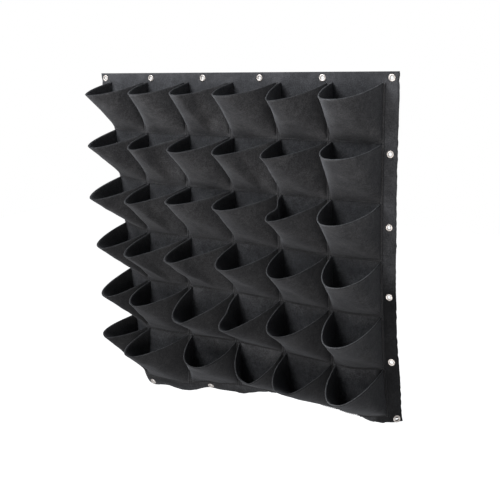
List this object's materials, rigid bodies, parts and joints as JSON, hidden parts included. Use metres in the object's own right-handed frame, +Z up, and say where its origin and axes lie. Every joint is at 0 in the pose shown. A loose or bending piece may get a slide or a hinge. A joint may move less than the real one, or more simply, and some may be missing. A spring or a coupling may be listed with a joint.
{
  "type": "wall hanging planter",
  "caption": "Wall-hung felt planter: a square sheet edged with metal eyelets, its front covered with rows of gaping half-cone pockets that each hold a plant.",
  "frame": {"origin": "on the wall, midway between the two top corner eyelets", "axes": "+X to the right seen from the front, -Y out to the front, +Z up"},
  "size_m": [1, 0.188, 1],
  "materials": {
    "sheet_felt": "matt needled felt, near black",
    "pocket_felt": "matt needled felt, near black",
    "thread": "twisted polyester thread, black",
    "eyelet_metal": "bright nickel plate"
  },
  "bodies": {
    "root": {"back_sheet": "sheet_felt", "eyelets_top": "eyelet_metal", "washers_top": "eyelet_metal", "eyelets_bottom": "eyelet_metal", "washers_bottom": "eyelet_metal", "eyelets_left": "eyelet_metal", "washers_left": "eyelet_metal", "eyelets_right": "eyelet_metal", "washers_right": "eyelet_metal", "pocket_row1_col1": "pocket_felt", "pocket_row1_col2": "pocket_felt", "pocket_row1_col3": "pocket_felt", "pocket_row1_col4": "pocket_felt", "pocket_row1_col5": "pocket_felt", "pocket_row1_col6": "pocket_felt", "pocket_row2_col1": "pocket_felt", "pocket_row2_col2": "pocket_felt", "pocket_row2_col3": "pocket_felt", "pocket_row2_col4": "pocket_felt", "pocket_row2_col5": "pocket_felt", "pocket_row2_col6": "pocket_felt", "pocket_row3_col1": "pocket_felt", "pocket_row3_col2": "pocket_felt", "pocket_row3_col3": "pocket_felt", "pocket_row3_col4": "pocket_felt", "pocket_row3_col5": "pocket_felt", "pocket_row3_col6": "pocket_felt", "pocket_row4_col1": "pocket_felt", "pocket_row4_col2": "pocket_felt", "pocket_row4_col3": "pocket_felt", "pocket_row4_col4": "pocket_felt", "pocket_row4_col5": "pocket_felt", "pocket_row4_col6": "pocket_felt", "pocket_row5_col1": "pocket_felt", "pocket_row5_col2": "pocket_felt", "pocket_row5_col3": "pocket_felt", "pocket_row5_col4": "pocket_felt", "pocket_row5_col5": "pocket_felt", "pocket_row5_col6": "pocket_felt", "pocket_row6_col1": "pocket_felt", "pocket_row6_col2": "pocket_felt", "pocket_row6_col3": "pocket_felt", "pocket_row6_col4": "pocket_felt", "pocket_row6_col5": "pocket_felt", "pocket_row6_col6": "pocket_felt", "stitching_row1": "thread", "stitching_row2": "thread", "stitching_row3": "thread", "stitching_row4": "thread", "stitching_row5": "thread", "stitching_row6": "thread"}
  },
  "joints": []
}
